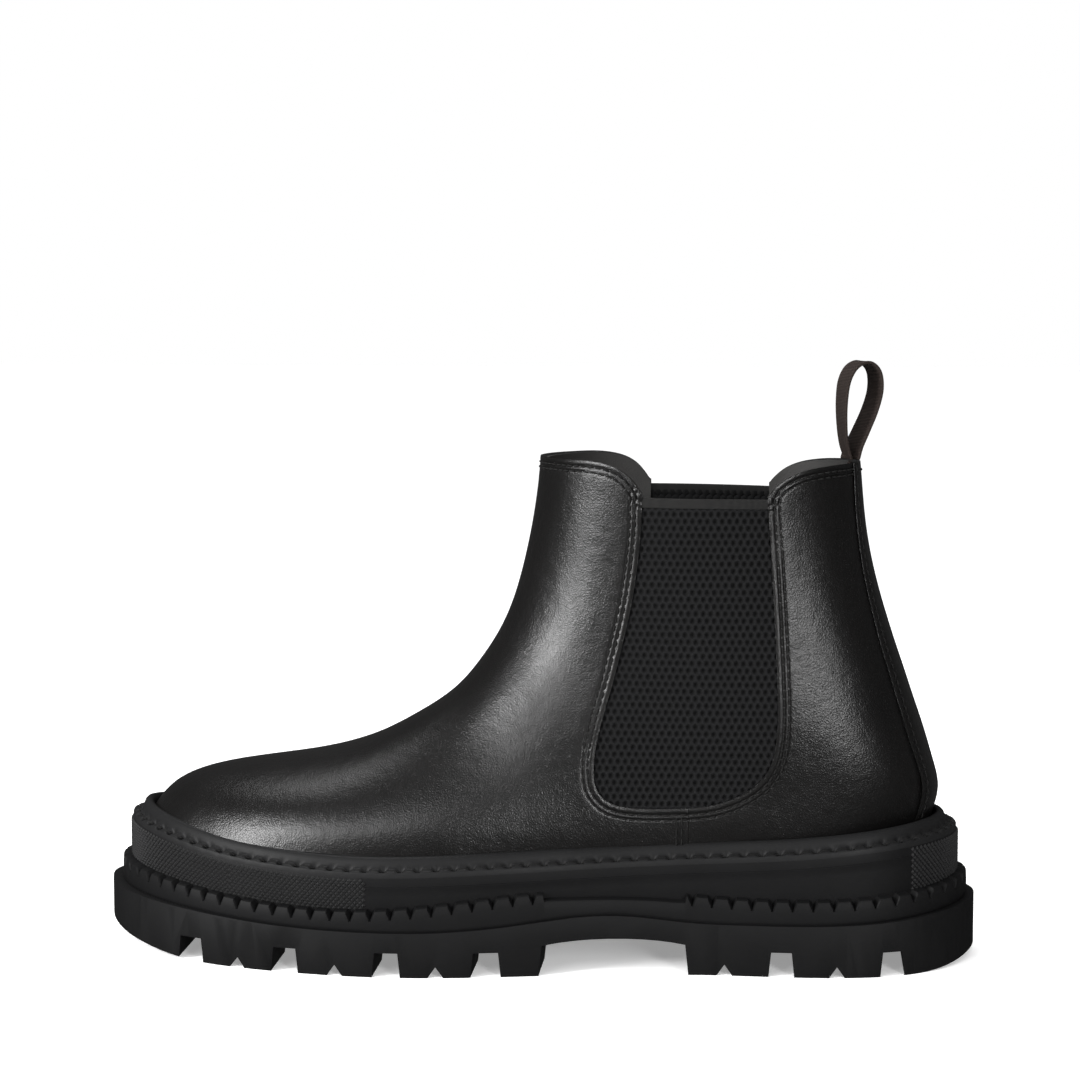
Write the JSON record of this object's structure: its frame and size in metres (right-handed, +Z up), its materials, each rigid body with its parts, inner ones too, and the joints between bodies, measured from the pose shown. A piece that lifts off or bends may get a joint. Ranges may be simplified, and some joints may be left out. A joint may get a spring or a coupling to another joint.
{
  "type": "chelsea boot",
  "caption": "Ankle boot with elastic side gussets and a pull loop at the heel, on a thick storm-welted rubber sole with a toothed rand and a deep lugged tread.",
  "frame": {"origin": "on the ground, at the middle of the boot's length and width", "axes": "+Z up, -X towards the toe and +X towards the heel, -Y towards the outer (lateral) side of this left boot"},
  "size_m": [0.3127, 0.1162, 0.2099],
  "materials": {
    "upper_leather": "smooth, soft sheen",
    "lining_leather": "matt",
    "outsole_rubber": "matt",
    "midsole_rubber": "matt, fine moulded texture",
    "welt_rubber": "matt",
    "thread": "waxed thread",
    "cork": "granular",
    "steel": "plain",
    "elastic": "ribbed elastic",
    "tape": "woven tape",
    "stiffener": "matt",
    "board": "matt",
    "footbed": "matt",
    "webbing": "woven"
  },
  "bodies": {
    "boot": {"backstay": "upper_leather", "cork_filler": "cork", "elastic_gusset_lateral": "elastic", "elastic_gusset_medial": "elastic", "gusset_binding_lateral": "tape", "gusset_binding_medial": "tape", "heel_counter": "stiffener", "insole_board": "board", "midsole": "midsole_rubber", "outsole": "outsole_rubber", "pull_loop_tail": "webbing", "quarter_lateral": "upper_leather", "quarter_lining_lateral": "lining_leather", "quarter_lining_medial": "lining_leather", "quarter_medial": "upper_leather", "sock_liner": "footbed", "steel_shank": "steel", "toe_puff": "stiffener", "toothed_rand": "outsole_rubber", "vamp": "upper_leather", "vamp_lining": "lining_leather", "welt": "welt_rubber", "welt_stitches": "thread"},
    "shaft_front": {"shaft_front": "upper_leather", "shaft_front_lining": "lining_leather"},
    "pull_loop": {"pull_loop": "webbing"}
  },
  "joints": [
    {"name": "collar_open", "type": "hinge", "parent": "boot", "child": "shaft_front", "pos_m": [-0.018, 0, 0.1055], "axis": [0, -1, 0], "range_deg": [0, 15], "stiffness_Nm_per_rad": 5},
    {"name": "pull_loop_swing", "type": "hinge", "parent": "boot", "child": "pull_loop", "pos_m": [0.1092, 0, 0.176], "axis": [0, 1, 0], "range_deg": [-38, 26], "stiffness_Nm_per_rad": 0.02}
  ]
}
